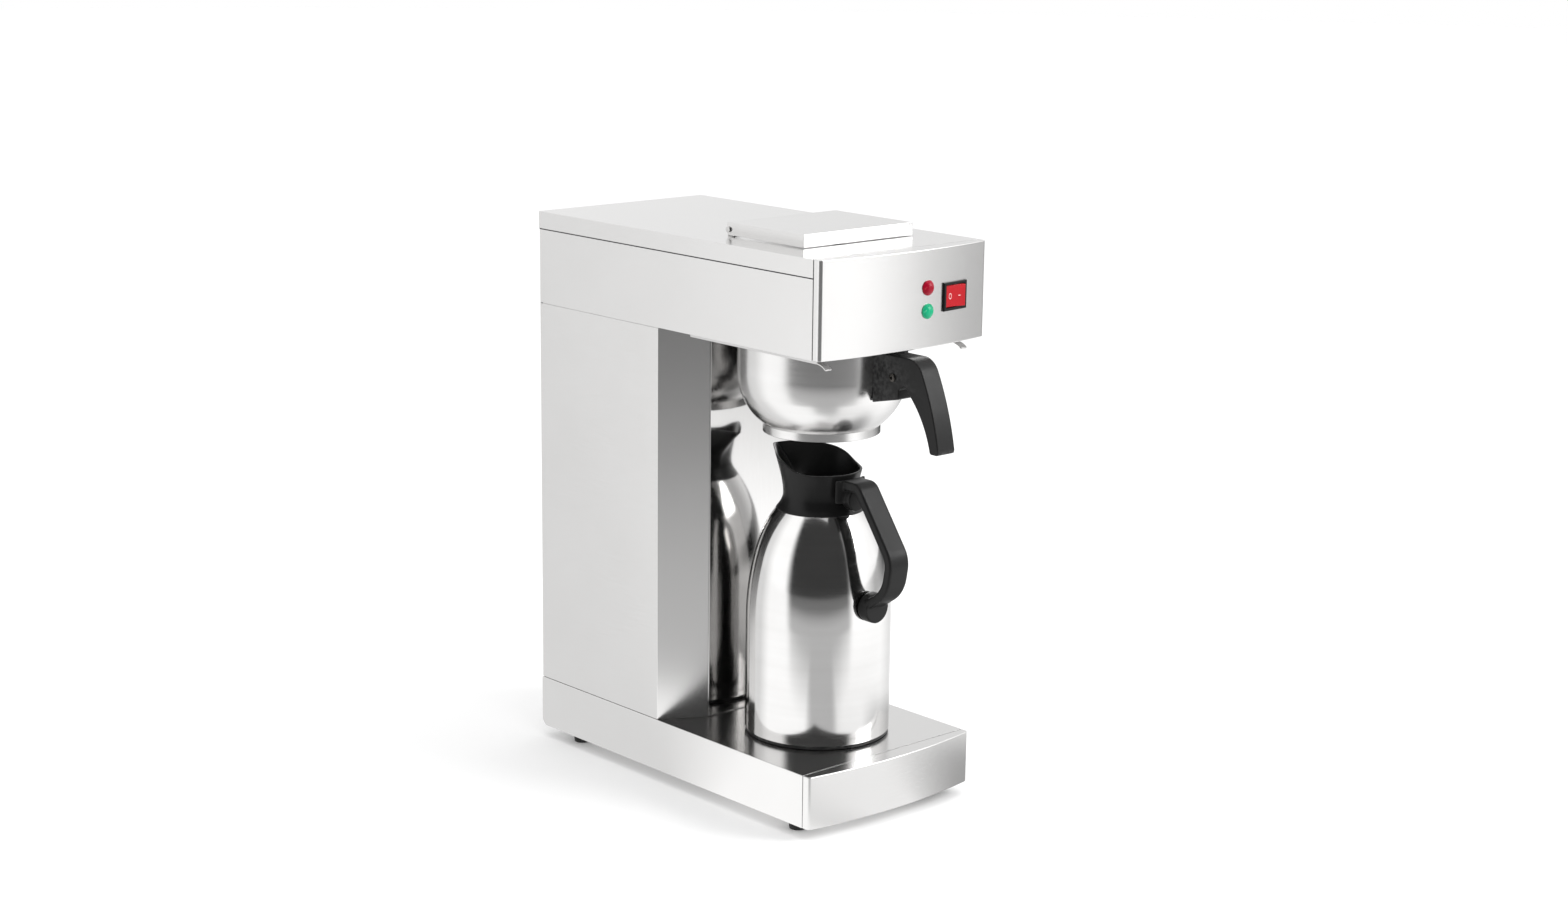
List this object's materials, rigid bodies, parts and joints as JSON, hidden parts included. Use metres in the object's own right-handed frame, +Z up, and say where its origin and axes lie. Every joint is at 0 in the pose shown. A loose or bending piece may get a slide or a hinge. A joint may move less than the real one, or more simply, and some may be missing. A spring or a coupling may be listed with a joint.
{
  "type": "commercial coffee brewer",
  "caption": "Upright folded-steel filter coffee brewer with a top fill lid, a funnel basket on rails, a lit rocker switch and a steel vacuum carafe.",
  "frame": {"origin": "on the counter, at the middle of the whole object's footprint, which runs from the cord gland at the rear to the funnel grip's tip at the front", "axes": "+Z up, +Y towards the rear, +X to the brewer's right as seen from the front"},
  "size_m": [0.2, 0.4566, 0.5298],
  "materials": {
    "body_steel": "brushed stainless, fine straight grain",
    "panel_steel": "brushed stainless, satin",
    "mirror_steel": "bright annealed, nearly mirror",
    "inner_steel": "plain mill finish",
    "polished_steel": "polished stainless",
    "carafe_steel": "polished with a faint circumferential grain",
    "funnel_steel": "spun satin",
    "tank_steel": "mill finish with heat tint",
    "element_sheath": "dark oxidised sheath",
    "screw_steel": "bright plated",
    "brass_fitting": "machined",
    "foot_rubber": "moulded matte",
    "silicone": "translucent food-grade silicone",
    "black_plastic": "fine moulded texture",
    "handle_plastic": "satin moulded",
    "collar_plastic": "satin to gloss moulded",
    "white_plastic": "moulded",
    "wire_sleeve": "braided sleeve",
    "red_plastic": "translucent red",
    "red_lens": "clear dark red lens",
    "green_lens": "clear green lens"
  },
  "bodies": {
    "chassis": {"base_shell": "body_steel", "base_front_panel": "panel_steel", "base_bottom_plate": "inner_steel", "feet": "foot_rubber", "foot_screws": "screw_steel", "column_side_left": "body_steel", "column_side_right": "body_steel", "column_front_panel": "mirror_steel", "rear_panel": "body_steel", "rear_screws": "screw_steel", "cord_gland": "black_plastic", "gland_nut": "black_plastic", "head_tray": "body_steel", "rail_screws": "screw_steel", "top_cover": "body_steel", "head_front_panel": "panel_steel", "lid_hinge_ears": "inner_steel", "lid_hinge_pins": "screw_steel", "fill_basin": "inner_steel", "hot_water_tank": "tank_steel", "tank_gasket": "silicone", "tank_lid": "tank_steel", "tank_screws": "screw_steel", "heating_element": "element_sheath", "tank_inlet_pipe": "tank_steel", "tank_outlet_stub": "brass_fitting", "fill_hose": "silicone", "spray_hose": "silicone", "tank_stand": "inner_steel", "tank_thermostat": "black_plastic", "high_limit_cutout": "black_plastic", "terminal_block": "white_plastic", "wiring_loom": "wire_sleeve", "sprayhead": "polished_steel", "sprayhead_nut": "brass_fitting", "funnel_rail_left": "inner_steel", "funnel_rail_right": "inner_steel", "switch_housing": "black_plastic", "heating_lamp": "red_lens", "ready_lamp": "green_lens", "lamp_bodies": "black_plastic"},
    "fill_lid": {"fill_lid": "panel_steel"},
    "brew_funnel": {"funnel_bowl": "funnel_steel", "filter_rest": "polished_steel", "funnel_handle": "handle_plastic", "handle_bolt": "screw_steel"},
    "carafe": {"carafe_shell": "carafe_steel", "carafe_foot_ring": "black_plastic", "carafe_bottom_cap": "inner_steel", "carafe_liner": "polished_steel", "carafe_collar": "collar_plastic", "carafe_handle": "handle_plastic"},
    "stopper": {"brew_through_stopper": "collar_plastic"},
    "rocker": {"switch_rocker": "red_plastic"}
  },
  "joints": [
    {"name": "lid_hinge", "type": "hinge", "parent": "chassis", "child": "fill_lid", "pos_m": [0, -0.0172, 0.5235], "axis": [-1, 0, 0], "range_deg": [0, 105]},
    {"name": "funnel_slide", "type": "slide", "parent": "chassis", "child": "brew_funnel", "axis": [0, -1, 0], "range_m": [0, 0.2]},
    {"name": "carafe_slide", "type": "slide", "parent": "chassis", "child": "carafe", "axis": [0, -1, 0], "range_m": [0, 0.25]},
    {"name": "stopper_lift", "type": "slide", "parent": "carafe", "child": "stopper", "axis": [0, 0, 1], "range_m": [0, 0.05]},
    {"name": "rocker_tilt", "type": "hinge", "parent": "chassis", "child": "rocker", "pos_m": [0.05466, -0.17551, 0.4734], "axis": [0, 0, 1], "range_deg": [0, 18]}
  ]
}
